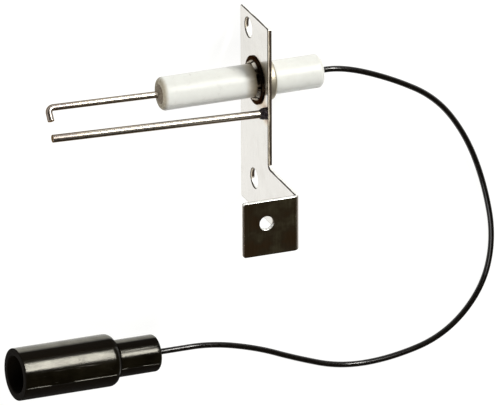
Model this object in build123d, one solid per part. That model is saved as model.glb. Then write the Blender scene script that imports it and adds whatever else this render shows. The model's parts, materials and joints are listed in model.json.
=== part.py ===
from build123d import *
import math
import os

# Ignition electrode with its lead and boot, lying on a table. Millimetres.
# X runs along the ceramic towards its lead end, Y along the plate, Z up from the table.

# Mounting bracket: a plate across X, whose low extension ends in a foot bent towards -X.
sheet = 1.5
plate_x = 25.35  # front face of the plate
plate_length = 68.3
plate_y = -plate_length / 2  # low end of the plate
plate_width = 24.8
arm_length = 19.1  # of the extension and the foot, along Y
foot_top = 50.4
foot_reach = 20.0  # from the plate's rear face to the foot's free edge
bend_inside = 1.0
corner_round = 0.8
inner_round = 1.6  # where the extension leaves the plate's edge
mount_hole_r = 3.4
mount_holes = [(10.9, 12.2), (62.7, 7.4)]  # along Y from the low end, and Z
foot_hole_r = 2.4
foot_hole = (11.9, 11.3)  # from the plate's rear face, and along Y from the low end

# Ceramic insulator
ceramic_y = plate_y + 46.3
ceramic_z = 13.4
ceramic_r = 5.65
ceramic_front = plate_x - 33.6
ceramic_back = plate_x + 22.8
ceramic_round = 1.5
ceramic_hole_r = ceramic_r + 0.15
rod_bore_r = 1.25
back_bore_r = 2.8
back_bore_depth = 24.0
cement_r = 3.1
cement_depth = 1.6
cement_dome = 0.9

# Retaining ring in front of the plate and collar behind it
ring_r = 8.2
ring_rim = 1.5
ring_sheet = 0.5
ring_dish = 1.3
ring_teeth = 8
tooth_slot = 1.1
collar_r = 7.3
collar_depth = 3.9
collar_round = 1.1

# Rods
electrode_r = 1.1
electrode_x = plate_x - 72.4  # centre line of the bent leg
electrode_drift = 0.9  # towards +Y, from the ceramic's front to the bent leg
tip_bend_r = 1.8
tip_leg = 4.6
tip_angle = 39.0  # of the leg, from -Y towards +Z
ground_r = 1.3
ground_start = (plate_x - 0.1, plate_y + 38.15, 23.2)
ground_end = (plate_x - 73.5, plate_y + 39.15, 20.2)
weld_r = 1.9
weld_length = 2.3

# Splice inside the ceramic
splice_r = 1.7
splice_length = 12.0
splice_back = ceramic_back - 11.0
splice_hold = 6.0  # how far each end goes into the sleeve
potting_recess = 0.6

# Boot: a wide body with an open mouth towards -X and a narrow tail on the lead. It rests on its shoulder,
# and the stiff lead holds its mouth a little higher than its tail. Distances along it start at the mouth.
boot_mouth = (-59.15, -80.65, 11.58)
boot_lean = 4.75  # degrees, the tail lower than the mouth
boot_yaw = 2.2  # degrees, the tail towards -Y
boot_length = 51.0
boot_body_length = 35.4
boot_r = 8.85
boot_tail_r = 6.3
mouth_bore_r = 6.3
mouth_bore_depth = 30.0
ferrule_bore_r = 2.4
ferrule_bore_depth = 9.0
boot_clearance = 0.08  # round the lead
shoulder_round = 2.4
mouth_round = 0.35
tail_round = 1.0
boot_place = Pos(*boot_mouth) * Rot(0, 0, -boot_yaw) * Rot(0, boot_lean, 0)

# Terminal on the lead's end, inside the boot
socket_front = 5.5
socket_r = 4.3
socket_bore_r = 3.3
socket_length = 14.0
socket_wall = 1.0
barrel_r = 1.7
barrel_length = 6.0
clip_x = socket_front + 5.0
clip_wire_r = 0.4
clip_gap = 40.0  # degrees of the clip that stay open
ferrule_r = 1.6
ferrule_length = 6.0

# Lead: its jacket and its conductor follow one route, and run straight at both ends of it
jacket_start = 40.0
jacket_end = socket_front + socket_length + socket_wall + barrel_length
jacket_r = 1.0
conductor_r = 0.4
conductor_gap = 0.03
ceramic_side = 44.0  # X where the route starts
boot_side = boot_length + 5.0  # where it ends, on the boot's axis
route = [
    (ceramic_side, ceramic_y, ceramic_z),
    (56.5, ceramic_y, ceramic_z),
    (74.5, 4.9, 12.4),
    (92.0, -6.1, 8.2),
    (104.5, -23.2, 3.7),
    (112.3, -42.7, 1.04),
    (115.9, -63.2, 1.04),
    (111.7, -81.5, 1.04),
    (98.0, -96.1, 1.04),
    (78.5, -101.3, 1.04),
    (60.5, -101.5, 1.04),
    (43.6, -95.2, 1.9),
    (29.6, -88.5, 3.8),
    tuple((boot_place * Pos(boot_side + 16.0, 0, 0)).position),
    tuple((boot_place * Pos(boot_side, 0, 0)).position),
]


def rod(radius, start, end, y=0, z=0):
    """A round bar along X from start to end."""
    return extrude(Plane((start, y, z), x_dir=(0, 1, 0), z_dir=(1, 0, 0)) * Circle(radius), end - start)


def turned(points, y=0, z=0):
    """A solid turned round an axis along X: points give X and the radius."""
    outline = make_face(Polyline(*[(x, r) for x, r in points], close=True))
    solid = revolve(Plane.XY * outline, Axis.X)
    return Pos(0, y, z) * solid


def mounting_bracket():
    rear = plate_x + sheet
    bend_outside = bend_inside + sheet
    strip = Pos(plate_x, plate_y, 0) * Box(
        sheet, plate_length, plate_width, align=(Align.MIN, Align.MIN, Align.MIN)
    )
    arm = Pos(plate_x, plate_y, 0) * Box(
        sheet, arm_length, foot_top - bend_outside, align=(Align.MIN, Align.MIN, Align.MIN)
    )
    foot = Pos(rear - foot_reach, plate_y, foot_top - sheet) * Box(
        foot_reach - bend_outside, arm_length, sheet, align=(Align.MIN, Align.MIN, Align.MIN)
    )
    centre = Pos(rear - bend_outside, plate_y, foot_top - bend_outside) * Rot(-90, 0, 0)
    quarter = Rectangle(bend_outside, bend_outside, align=(Align.MIN, Align.MAX))
    bend = extrude(centre * ((Circle(bend_outside) - Circle(bend_inside)) & quarter), arm_length)
    plate = strip + arm
    inner = plate.edges().filter_by(Axis.X).filter_by_position(Axis.Z, plate_width - 0.01, plate_width + 0.01)
    plate = fillet(inner.sort_by(Axis.Y)[0], inner_round)
    plate = fillet(plate.edges().filter_by(Axis.X).sort_by(Axis.Y)[-2:], corner_round)
    low = plate.edges().filter_by(Axis.X).filter_by_position(Axis.Z, -0.01, 0.01).sort_by(Axis.Y)[0]
    plate = fillet(low, corner_round)
    free = foot.edges().filter_by(Axis.Z).sort_by(Axis.X)[:2]
    foot = fillet(free, corner_round)
    body = plate + bend + foot
    for y, z in mount_holes:
        body -= rod(mount_hole_r, plate_x - 1, rear + 1, plate_y + y, z)
    body -= rod(ceramic_hole_r, plate_x - 1, rear + 1, ceramic_y, ceramic_z)
    hole = Pos(rear - foot_hole[0], plate_y + foot_hole[1], foot_top - sheet / 2)
    body -= hole * Cylinder(foot_hole_r, 4 * sheet)
    return body


def ceramic_insulator():
    tube = rod(ceramic_r, ceramic_front, ceramic_back, ceramic_y, ceramic_z)
    tube = fillet(tube.edges().filter_by(GeomType.CIRCLE), ceramic_round)
    tube -= rod(rod_bore_r, ceramic_front - 1, ceramic_back + 1, ceramic_y, ceramic_z)
    tube -= rod(cement_r, ceramic_front - 1, ceramic_front + cement_depth, ceramic_y, ceramic_z)
    tube -= rod(back_bore_r, ceramic_back - back_bore_depth, ceramic_back + 1, ceramic_y, ceramic_z)
    return tube


def front_retaining_ring():
    rim_inner = ring_r - ring_rim
    front = plate_x - ring_sheet
    grip = ceramic_r + 0.02
    ring = turned(
        [
            (plate_x, rim_inner),
            (plate_x, ring_r),
            (front, ring_r),
            (front, rim_inner),
            (front - ring_dish, grip),
            (plate_x - ring_dish, grip),
        ],
        ceramic_y,
        ceramic_z,
    )
    slot = Box(4 * ring_dish, tooth_slot, rim_inner - 0.3, align=(Align.CENTER, Align.CENTER, Align.MIN))
    for k in range(ring_teeth):
        turn = Rot(360 * (k + 0.5) / ring_teeth, 0, 0)
        ring -= Pos(plate_x - ring_dish, ceramic_y, ceramic_z) * turn * slot
    return ring


def rear_collar():
    back = plate_x + sheet
    collar = rod(collar_r, back, back + collar_depth, ceramic_y, ceramic_z)
    outer = collar.edges().filter_by(GeomType.CIRCLE).sort_by(Axis.X)[-1]
    collar = fillet(outer, collar_round)
    return collar - rod(ceramic_r + 0.02, back - 1, back + collar_depth + 1, ceramic_y, ceramic_z)


def spark_electrode():
    inner = splice_back - splice_length + splice_hold
    bend = ceramic_front - cement_dome - 0.4
    lean = math.radians(tip_angle)
    knee = (electrode_x, ceramic_y + electrode_drift, ceramic_z)
    tip = (electrode_x, knee[1] - tip_leg * math.cos(lean), knee[2] + tip_leg * math.sin(lean))
    line = FilletPolyline(
        (inner, ceramic_y, ceramic_z), (bend, ceramic_y, ceramic_z), knee, tip, radius=[20.0, tip_bend_r]
    )
    section = Plane(line @ 0, z_dir=line % 0) * Circle(electrode_r)
    return sweep(section, path=line)


def ground_rod():
    start = Vector(*ground_start)
    run = Vector(*ground_end) - start
    return extrude(Plane(start, z_dir=run.normalized()) * Circle(ground_r), run.length)


def ground_rod_weld():
    _, y, z = ground_start
    bead = turned(
        [
            (plate_x, 0),
            (plate_x, weld_r),
            (plate_x - 0.5, weld_r),
            (plate_x - 1.3, weld_r - 0.15),
            (plate_x - weld_length, ground_r + 0.1),
            (plate_x - weld_length, 0),
        ],
        y,
        z,
    )
    return bead - ground_rod()


def front_cement():
    """The plug in the ceramic's end, with a low dome round the rod."""
    back = ceramic_front + cement_depth
    plug = rod(cement_r, ceramic_front, back, ceramic_y, ceramic_z)
    ball = (cement_r**2 + cement_dome**2) / (2 * cement_dome)
    dome = Pos(ceramic_front - cement_dome + ball, ceramic_y, ceramic_z) * Sphere(ball)
    dome &= rod(cement_r, ceramic_front - cement_dome - 1, ceramic_front, ceramic_y, ceramic_z)
    return plug + dome - spark_electrode()


def splice_sleeve():
    start = splice_back - splice_length
    sleeve = rod(splice_r, start, splice_back, ceramic_y, ceramic_z)
    sleeve -= rod(electrode_r, start - 1, start + splice_hold, ceramic_y, ceramic_z)
    return sleeve - rod(conductor_r, start + splice_hold - 0.5, splice_back + 1, ceramic_y, ceramic_z)


def rear_potting():
    back = ceramic_back - potting_recess
    plug = rod(back_bore_r, splice_back, back, ceramic_y, ceramic_z)
    plug -= rod(conductor_r, splice_back - 1, jacket_start + 0.5, ceramic_y, ceramic_z)
    return plug - rod(jacket_r, jacket_start, back + 1, ceramic_y, ceramic_z)


def corner_radii(points):
    """The largest arc that each corner of the route has room for."""
    radii = []
    for a, b, c in zip(points, points[1:], points[2:]):
        before, after = Vector(*b) - Vector(*a), Vector(*c) - Vector(*b)
        turn = math.radians(before.get_angle(after))
        radii.append(0.45 * min(before.length, after.length) / math.tan(turn / 2))
    return radii


def swept(radius, line):
    return sweep(Plane(line @ 0, z_dir=line % 0) * Circle(radius), path=line)


radii = corner_radii(route)
lead_line = FilletPolyline(*route, radius=radii)


def lead_jacket():
    hollow_r = conductor_r + conductor_gap
    tube = swept(jacket_r, lead_line)
    tube += rod(jacket_r, jacket_start, ceramic_side, ceramic_y, ceramic_z)
    tube += boot_place * rod(jacket_r, jacket_end, boot_side)
    bore = swept(hollow_r, lead_line)
    bore += rod(hollow_r, jacket_start - 1, ceramic_side, ceramic_y, ceramic_z)
    bore += boot_place * rod(hollow_r, jacket_end - 1, boot_side)
    return tube - bore


def lead_conductor():
    core = swept(conductor_r, lead_line)
    core += rod(conductor_r, splice_back - splice_hold, ceramic_side, ceramic_y, ceramic_z)
    return core + boot_place * rod(conductor_r, jacket_end - barrel_length + 0.5, boot_side)


def rubber_boot():
    body = rod(boot_r, 0, boot_body_length)
    ends = body.edges().filter_by(GeomType.CIRCLE).sort_by(Axis.X)
    body = fillet(ends[0], mouth_round)
    body = fillet(body.edges().filter_by(GeomType.CIRCLE).sort_by(Axis.X)[-1], shoulder_round)
    tail = rod(boot_tail_r, boot_body_length - 1, boot_length)
    tail = fillet(tail.edges().filter_by(GeomType.CIRCLE).sort_by(Axis.X)[-1], tail_round)
    boot = body + tail
    boot -= rod(mouth_bore_r, -1, mouth_bore_depth)
    boot -= rod(ferrule_bore_r, mouth_bore_depth - 1, mouth_bore_depth + ferrule_bore_depth)
    boot -= rod(jacket_r + boot_clearance, mouth_bore_depth, boot_length + 1)
    return boot_place * boot


def terminal_socket():
    floor = socket_front + socket_length
    neck = floor + socket_wall
    groove = (clip_x - clip_wire_r, clip_x + clip_wire_r)
    socket = turned(
        [
            (socket_front, socket_bore_r + 0.3),
            (socket_front, socket_r - 0.3),
            (socket_front + 0.3, socket_r),
            (groove[0], socket_r),
            (groove[0], socket_r - clip_wire_r),
            (groove[1], socket_r - clip_wire_r),
            (groove[1], socket_r),
            (floor, socket_r),
            (neck, socket_r - 0.8),
            (neck, barrel_r),
            (neck + barrel_length, barrel_r),
            (neck + barrel_length, conductor_r),
            (floor + 0.5, conductor_r),
            (floor + 0.5, 0),
            (floor, 0),
            (floor, socket_bore_r),
            (socket_front + 0.3, socket_bore_r),
        ]
    )
    return boot_place * socket


def terminal_spring_clip():
    centre = Plane((clip_x, 0, 0), x_dir=(0, 1, 0), z_dir=(1, 0, 0))
    path = centre * CenterArc((0, 0), socket_r + 0.02, 90 + clip_gap / 2, 360 - clip_gap)
    return boot_place * sweep(Plane(path @ 0, z_dir=path % 0) * Circle(clip_wire_r - 0.02), path=path)


def jacket_ferrule():
    ferrule = rod(ferrule_r, jacket_end, jacket_end + ferrule_length)
    ferrule = chamfer(ferrule.edges().filter_by(GeomType.CIRCLE), 0.15)
    return boot_place * (ferrule - rod(jacket_r, jacket_end - 1, jacket_end + ferrule_length + 1))


makers = [
    mounting_bracket,
    ceramic_insulator,
    front_retaining_ring,
    rear_collar,
    spark_electrode,
    ground_rod,
    ground_rod_weld,
    front_cement,
    splice_sleeve,
    rear_potting,
    lead_jacket,
    lead_conductor,
    rubber_boot,
    terminal_socket,
    terminal_spring_clip,
    jacket_ferrule,
]

os.makedirs("parts", exist_ok=True)
for make in makers:
    export_step(make(), f"parts/{make.__name__}.step")

straight = boot_side - jacket_end + ceramic_side - jacket_start
length = lead_line.length + straight
section = math.pi * (jacket_r**2 - (conductor_r + conductor_gap) ** 2)
print("corner radii of the lead, mm:", [round(r, 1) for r in radii])
print("lead length, mm:", round(length, 1))
print("jacket volume / section x length:", round(lead_jacket().volume / (section * length), 4))
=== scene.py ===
"""Looks of an ignition electrode lying on a pale table: bracket, ceramic, rods, lead and boot."""

import json
import math
from functools import partial

import bmesh
import bpy
from mathutils import Matrix, Vector, noise


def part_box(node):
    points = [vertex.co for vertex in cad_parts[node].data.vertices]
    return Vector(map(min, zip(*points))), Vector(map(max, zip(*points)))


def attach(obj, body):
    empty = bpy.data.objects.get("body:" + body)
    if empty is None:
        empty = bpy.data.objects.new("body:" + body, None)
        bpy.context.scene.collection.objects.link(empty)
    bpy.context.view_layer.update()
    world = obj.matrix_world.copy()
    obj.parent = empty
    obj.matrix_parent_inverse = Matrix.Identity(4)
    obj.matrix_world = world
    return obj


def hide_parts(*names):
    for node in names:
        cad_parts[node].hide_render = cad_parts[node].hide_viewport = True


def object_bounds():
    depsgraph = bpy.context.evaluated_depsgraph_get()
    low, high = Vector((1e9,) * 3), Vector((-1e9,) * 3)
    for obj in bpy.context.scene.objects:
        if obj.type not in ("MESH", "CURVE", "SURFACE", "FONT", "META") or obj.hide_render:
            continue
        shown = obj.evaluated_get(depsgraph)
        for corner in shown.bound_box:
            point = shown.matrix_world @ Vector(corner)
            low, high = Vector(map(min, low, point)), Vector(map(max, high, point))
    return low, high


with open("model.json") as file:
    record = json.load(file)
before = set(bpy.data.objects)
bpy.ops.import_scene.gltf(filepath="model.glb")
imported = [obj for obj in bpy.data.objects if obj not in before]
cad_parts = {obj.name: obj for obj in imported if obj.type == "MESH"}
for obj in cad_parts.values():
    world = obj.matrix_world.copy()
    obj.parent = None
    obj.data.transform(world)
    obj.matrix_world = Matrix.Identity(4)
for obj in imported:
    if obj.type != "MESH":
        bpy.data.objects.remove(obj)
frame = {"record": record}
cad_box = [list(corner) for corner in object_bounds()]

MM = 0.001
ROOT, BOOT = "electrode", "boot"
ROUND = 96  # facets round a turned piece
SHARP = math.radians(40)


def box_mm(node):
    """A node's lowest and highest corners, in millimetres."""
    return [[value / MM for value in corner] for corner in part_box(node)]


# ---------------------------------------- places, from the frame
bracket_low, bracket_high = box_mm("mounting_bracket")
ceramic_low, ceramic_high = box_mm("ceramic_insulator")
SHEET = 1.5
REAR = bracket_high[0]
FRONT = REAR - SHEET
LOW_END, HIGH_END = bracket_low[1], bracket_high[1]
FOOT_TOP = bracket_high[2]
AXIS_Y = (ceramic_low[1] + ceramic_high[1]) / 2
AXIS_Z = (ceramic_low[2] + ceramic_high[2]) / 2
CERAMIC_R = (ceramic_high[1] - ceramic_low[1]) / 2
CERAMIC_FRONT, CERAMIC_BACK = ceramic_low[0], ceramic_high[0]
CEMENT_R, CEMENT_DEPTH = 3.1, 1.6  # the pocket in the ceramic's front end
LEAD_BORE_R = 2.8  # the ceramic's rear bore
SPARK_ROD_R, EARTH_ROD_R, SPLICE_R = 1.1, 1.3, 1.7
EARTH_ROOT_Y, EARTH_ROOT_Z = LOW_END + 38.15, 23.2  # where the earth rod meets the plate

# The boot's own frame: X runs from its mouth's centre along its axis, which the slide joint gives.
BOOT_LENGTH, BOOT_BODY, BOOT_R, BOOT_TAIL_R = 51.0, 35.4, 8.85, 6.3
BOOT_MOUTH = Vector((-59.15, -80.65, 11.58))
BOOT_AXIS = Vector(frame["record"]["behaviour"]["joints"][0]["axis"]).normalized()
BOOT_UP = (Vector((0, 0, 1)) - BOOT_AXIS * BOOT_AXIS.z).normalized()
BOOT_TURN = Matrix((BOOT_AXIS, BOOT_UP.cross(BOOT_AXIS), BOOT_UP)).transposed().to_4x4()
BOOT_PLACE = Matrix.Translation(BOOT_MOUTH * MM) @ BOOT_TURN
# Ways round the boot, in radians from its +Y side
PARTING = math.radians(103)  # one parting line; the other is opposite
DULL_SHADED_BAND = (math.radians(14), math.radians(36.5))  # the dull band of darker rubber, painted shade, between the painted reflection and the lit side
PAINTED_REFLECTION = (-0.9, -0.6, 0.13, 0.25)  # the pale painted reflection round the boot's +Y side: where it starts, is full, fades and ends
SCRATCH = 1.275


def on_boot_axis(distance):
    return tuple(BOOT_MOUTH + BOOT_AXIS * distance)


# ---------------------------------------- camera
def camera():
    """A long lens above the table, on the plate's side, rolled so that +Y is up in the picture."""
    right = Vector((0.9326, -0.0040, 0.3609)).normalized()
    back = Vector((-0.3314, 0.3862, 0.8608)).normalized()
    up = back.cross(right).normalized()
    right = up.cross(back)
    above_foot = Vector((FRONT, LOW_END + 0.8, FOOT_TOP + 1.9)) * MM
    centre = above_foot + (up * 15.5 - right * 15.9) * MM
    distance, width = 3.0, 0.1634  # to the middle of the view, and the view's width there, in metres
    data = bpy.data.cameras.new("camera")
    data.sensor_width = 36.0
    data.lens = data.sensor_width * distance / width
    data.clip_start, data.clip_end = 0.1, 100.0
    cam = bpy.data.objects.new("camera", data)
    turn = Matrix((right, up, back)).transposed().to_4x4()
    cam.matrix_world = Matrix.Translation(centre + back * distance) @ turn
    bpy.context.scene.collection.objects.link(cam)
    bpy.context.scene.camera = cam


# ---------------------------------------- shader building
def shader(name, **values):
    """A material with one Principled shader; returns the material, its tree and the shader."""
    material = bpy.data.materials.new(name)
    material.use_nodes = True
    tree = material.node_tree
    surface = tree.nodes["Principled BSDF"]
    for key, value in values.items():
        surface.inputs[key.replace("_", " ")].default_value = value
    return material, tree, surface


def add(tree, kind, inputs, **settings):
    """A shader node; an input is a value or another node's output."""
    node = tree.nodes.new("ShaderNode" + kind)
    for key, value in settings.items():
        setattr(node, key, value)
    for key, value in inputs.items():
        if isinstance(value, bpy.types.NodeSocket):
            tree.links.new(value, node.inputs[key])
        else:
            node.inputs[key].default_value = value
    return node


def place(tree, stretch=(1, 1, 1)):
    """The row frame's coordinates, in millimetres, stretched along each axis."""
    coords = add(tree, "TexCoord", {})
    scale = [1 / (MM * s) for s in stretch]
    return add(tree, "Mapping", {"Vector": coords.outputs["Object"], "Scale": scale}).outputs[0]


def cloud(tree, vector, size, detail=3.0, roughness=0.5):
    """Noise with lumps of that size, in millimetres."""
    inputs = {"Vector": vector, "Scale": 1 / size, "Detail": detail, "Roughness": roughness}
    return add(tree, "TexNoise", inputs).outputs["Fac"]


def ramp(tree, factor, *stops):
    """A colour ramp: stops are (position, colour or grey)."""
    node = add(tree, "ValToRGB", {"Fac": factor})
    elements = node.color_ramp.elements
    while len(elements) < len(stops):
        elements.new(0.5)
    for element, (position, colour) in zip(elements, stops):
        element.position = position
        rgb = colour if isinstance(colour, tuple) else (colour, colour, colour)
        element.color = (*rgb, 1.0)
    return node.outputs["Color"]


def spread(tree, value, low, high, to_low=0.0, to_high=1.0):
    """Maps value from low..high to to_low..to_high, clamped."""
    inputs = {"Value": value, "From Min": low, "From Max": high, "To Min": to_low, "To Max": to_high}
    return add(tree, "MapRange", inputs).outputs["Result"]


def blend_colours(tree, factor, first, second, mode="MIX"):
    """Two colours blended by that factor; a colour is a value or another node's output."""
    node = add(tree, "Mix", {"Factor": factor}, data_type="RGBA", blend_type=mode)
    for key, value in ((6, first), (7, second)):
        if isinstance(value, bpy.types.NodeSocket):
            tree.links.new(value, node.inputs[key])
        else:
            node.inputs[key].default_value = (*value, 1.0)
    return node.outputs[2]


def calculate(tree, operation, *values):
    """One step of arithmetic; a value is a number or another node's output."""
    return add(tree, "Math", dict(enumerate(values)), operation=operation).outputs[0]


def product(tree, first, second):
    return calculate(tree, "MULTIPLY", first, second)


def measure(tree, operation, first, second):
    """The distance or the dot product of two vectors."""
    return add(tree, "VectorMath", {0: first, 1: second}, operation=operation).outputs["Value"]


def relief(tree, surface, height, depth):
    """Bump from a height of 0 to 1, with that depth in millimetres."""
    node = add(tree, "Bump", {"Height": height, "Distance": depth * MM, "Strength": 1.0})
    tree.links.new(node.outputs["Normal"], surface.inputs["Normal"])


def connect(tree, surface, **links):
    for key, output in links.items():
        tree.links.new(output, surface.inputs[key.replace("_", " ")])


def distance_from(tree, point):
    """Distance from a point of the row frame, in millimetres."""
    return measure(tree, "DISTANCE", place(tree), point)


def coordinates(tree):
    """The row frame's X, Y and Z, in millimetres."""
    return add(tree, "SeparateXYZ", {0: place(tree)}).outputs


def facing(tree):
    """The surface's direction, as X, Y and Z."""
    return add(tree, "SeparateXYZ", {0: add(tree, "NewGeometry", {}).outputs["Normal"]}).outputs


# ---------------------------------------- materials
def plated_steel():
    """Bright rolled sheet: fine lines, faint stains, heat tint near the weld, a painted reflection of the ring
    beside it, painted shade on the bend's outside and an oily foot.
    """
    material, tree, surface = shader("plated_steel", Metallic=1.0)
    lines = cloud(tree, place(tree, (1, 30, 1)), 0.22, 4.0, 0.6)
    stains = cloud(tree, place(tree), 7.0, 4.0, 0.6)
    colour = ramp(tree, lines, (0.3, (0.76, 0.74, 0.70)), (0.7, (0.83, 0.81, 0.77)))
    stain = spread(tree, stains, 0.5, 0.75, 0.0, 0.35)
    colour = blend_colours(tree, stain, colour, (0.66, 0.63, 0.58))
    # heat tint round the weld
    weld = box_mm("ground_rod_weld")
    centre = (FRONT + SHEET / 2, (weld[0][1] + weld[1][1]) / 2, (weld[0][2] + weld[1][2]) / 2)
    ragged = calculate(tree, "ADD", distance_from(tree, centre), stains)
    heat = ramp(
        tree,
        spread(tree, ragged, 1.2, 6.2),
        (0.0, (0.10, 0.08, 0.09)),
        (0.22, (0.20, 0.12, 0.14)),
        (0.42, (0.42, 0.28, 0.17)),
        (0.70, (0.74, 0.64, 0.46)),
        (1.0, (0.84, 0.83, 0.80)),
    )
    colour = blend_colours(tree, spread(tree, ragged, 2.4, 6.2, 1.0, 0.0), colour, heat)
    # painted reflection of the dark ring on the plate beside it, above the axis
    ring = distance_from(tree, (FRONT, AXIS_Y, AXIS_Z))
    ring = calculate(tree, "ADD", ring, product(tree, stains, 4.0))
    height = coordinates(tree)["Z"]
    above = spread(tree, height, AXIS_Z, AXIS_Z + 5.0)
    painted_ring_reflection = product(tree, spread(tree, ring, 10.5, 13.0, 1.0, 0.0), above)
    colour = blend_colours(tree, painted_ring_reflection, colour, (0.50, 0.37, 0.24))
    # painted shade on the bend's outside, and the foot's oily face
    bend = spread(tree, height, FOOT_TOP - 2.6, FOOT_TOP - 1.6)
    painted_bend_shade = product(tree, spread(tree, facing(tree)["X"], 0.25, 0.6), bend)
    colour = blend_colours(tree, painted_bend_shade, colour, (0.21, 0.18, 0.15))
    oiled = ramp(tree, stains, (0.38, (0.95, 0.70, 0.46)), (0.50, (0.78, 0.66, 0.47)), (0.62, (1.0, 0.94, 0.66)))
    colour = blend_colours(tree, spread(tree, height, FOOT_TOP - 0.3, FOOT_TOP - 0.1), colour, oiled)
    rough = spread(tree, calculate(tree, "ADD", lines, stains), 0.6, 1.4, 0.12, 0.22)
    connect(tree, surface, Base_Color=colour, Roughness=rough)
    relief(tree, surface, lines, 0.006)
    return material


def sheet_depth(tree):
    """How far from the sheet's front face, in millimetres: along X in the plate, along Z in the foot."""
    parts = coordinates(tree)
    in_plate = calculate(tree, "SUBTRACT", parts["X"], FRONT)
    in_foot = calculate(tree, "SUBTRACT", parts["Z"], FOOT_TOP - SHEET)
    return calculate(tree, "MAXIMUM", in_plate, in_foot)


def sheared_steel():
    """The sheet's cut edges: across each edge, a light band next to the front face, then a near-black band and
    dark grey at the rear; painted shade and a painted highlight on the edges that face +Y.
    """
    material, tree, surface = shader("sheared_steel", Metallic=0.2)
    marks = cloud(tree, place(tree, (6, 1, 1)), 0.18, 3.0, 0.7)
    wander = spread(tree, cloud(tree, place(tree), 5.0), 0.3, 0.7, -0.15, 0.15)
    across = calculate(tree, "ADD", sheet_depth(tree), wander)
    bands = ramp(
        tree,
        spread(tree, across, 0.0, SHEET),
        (0.0, (0.78, 0.69, 0.55)),
        (0.28, (0.90, 0.81, 0.66)),
        (0.42, (0.14, 0.10, 0.065)),
        (0.58, (0.07, 0.048, 0.03)),
        (0.70, (0.005, 0.003, 0.002)),
        (0.92, (0.17, 0.13, 0.10)),
    )
    torn = ramp(tree, marks, (0.3, 0.72), (0.7, 1.0))
    edges = blend_colours(tree, 1.0, bands, torn, "MULTIPLY")
    # on the edges that face +Y: painted shade next to the front face, a painted highlight behind it
    ends = ramp(tree, spread(tree, across, 0.0, SHEET), (0.22, (0.012, 0.008, 0.005)), (0.36, (0.86, 0.86, 0.83)))
    colour = blend_colours(tree, spread(tree, facing(tree)["Y"], 0.2, 0.5), edges, ends)
    connect(tree, surface, Base_Color=colour, Roughness=spread(tree, marks, 0.3, 0.7, 0.3, 0.5))
    relief(tree, surface, marks, 0.012)
    return material


def burred_steel():
    """The rounded corners between faces and cut edges: dark metal, with a painted highlight on the rear corners
    that face +Y.
    """
    material, tree, surface = shader("burred_steel", Metallic=1.0)
    marks = cloud(tree, place(tree), 0.6, 3.0, 0.7)
    colour = ramp(tree, marks, (0.3, (0.020, 0.013, 0.009)), (0.7, (0.10, 0.08, 0.06)))
    # painted highlight on the rear corners that face +Y
    rear = product(tree, spread(tree, sheet_depth(tree), 0.7, 0.9), spread(tree, facing(tree)["Y"], 0.05, 0.3))
    colour = blend_colours(tree, rear, colour, (0.86, 0.86, 0.83))
    connect(tree, surface, Base_Color=colour, Roughness=spread(tree, marks, 0.3, 0.7, 0.35, 0.55))
    relief(tree, surface, marks, 0.01)
    return material


def white_glaze():
    """Off-white satin glaze: brown on its front face, with painted light towards that face's upper edge and
    painted shade towards its lower edge; darker towards the ring from soot stain and painted shade.
    """
    material, tree, surface = shader("white_glaze", IOR=1.45, Specular_IOR_Level=0.35)
    mottle = cloud(tree, place(tree), 3.0, 5.0, 0.6)
    colour = ramp(tree, mottle, (0.3, (0.64, 0.645, 0.615)), (0.7, (0.68, 0.69, 0.66)))
    x = coordinates(tree)["X"]
    ragged = calculate(tree, "ADD", x, product(tree, mottle, 0.9))
    fired = spread(tree, ragged, CERAMIC_FRONT + 0.6, CERAMIC_FRONT + 1.9, 1.0, 0.0)
    spots = cloud(tree, place(tree), 0.9, 5.0, 0.65)
    front_brown_and_shade = ramp(tree, spots, (0.3, (0.17, 0.135, 0.08)), (0.66, (0.50, 0.455, 0.345)))
    # the front face gets painted light towards its upper edge and painted shade at its lower one
    upward = Vector((0.0, 0.45, 0.89))
    level = measure(tree, "DOT_PRODUCT", place(tree), upward)
    middle = upward.dot(Vector((0.0, AXIS_Y, AXIS_Z)))
    painted_light_upper = spread(tree, level, middle, middle + 5.0, 0.0, 0.7)
    painted_shade_lower = spread(tree, level, middle - 4.6, middle - 1.5, 0.85, 0.0)
    front_brown_and_shade = blend_colours(tree, painted_light_upper, front_brown_and_shade, (0.55, 0.49, 0.38))
    front_brown_and_shade = blend_colours(tree, painted_shade_lower, front_brown_and_shade, (0.09, 0.07, 0.04))
    colour = blend_colours(tree, fired, colour, front_brown_and_shade)
    before = calculate(tree, "LESS_THAN", x, FRONT)
    # soot stain together with painted shade: the ceramic darkens towards the ring
    soot_and_shade = ramp(
        tree,
        spread(tree, ragged, FRONT - 5.0, FRONT + 0.5),
        (0.0, (0.655, 0.66, 0.63)),
        (0.24, (0.58, 0.56, 0.50)),
        (0.44, (0.48, 0.44, 0.36)),
        (0.62, (0.33, 0.28, 0.20)),
        (0.80, (0.15, 0.115, 0.075)),
        (1.0, (0.04, 0.026, 0.016)),
    )
    sooted_and_shaded = product(tree, spread(tree, ragged, FRONT - 5.0, FRONT - 4.0), before)
    colour = blend_colours(tree, sooted_and_shaded, colour, soot_and_shade)
    rough = calculate(tree, "ADD", spread(tree, mottle, 0.3, 0.7, 0.26, 0.34), product(tree, fired, 0.4))
    connect(tree, surface, Base_Color=colour, Roughness=rough)
    relief(tree, surface, mottle, 0.02)
    return material


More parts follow.
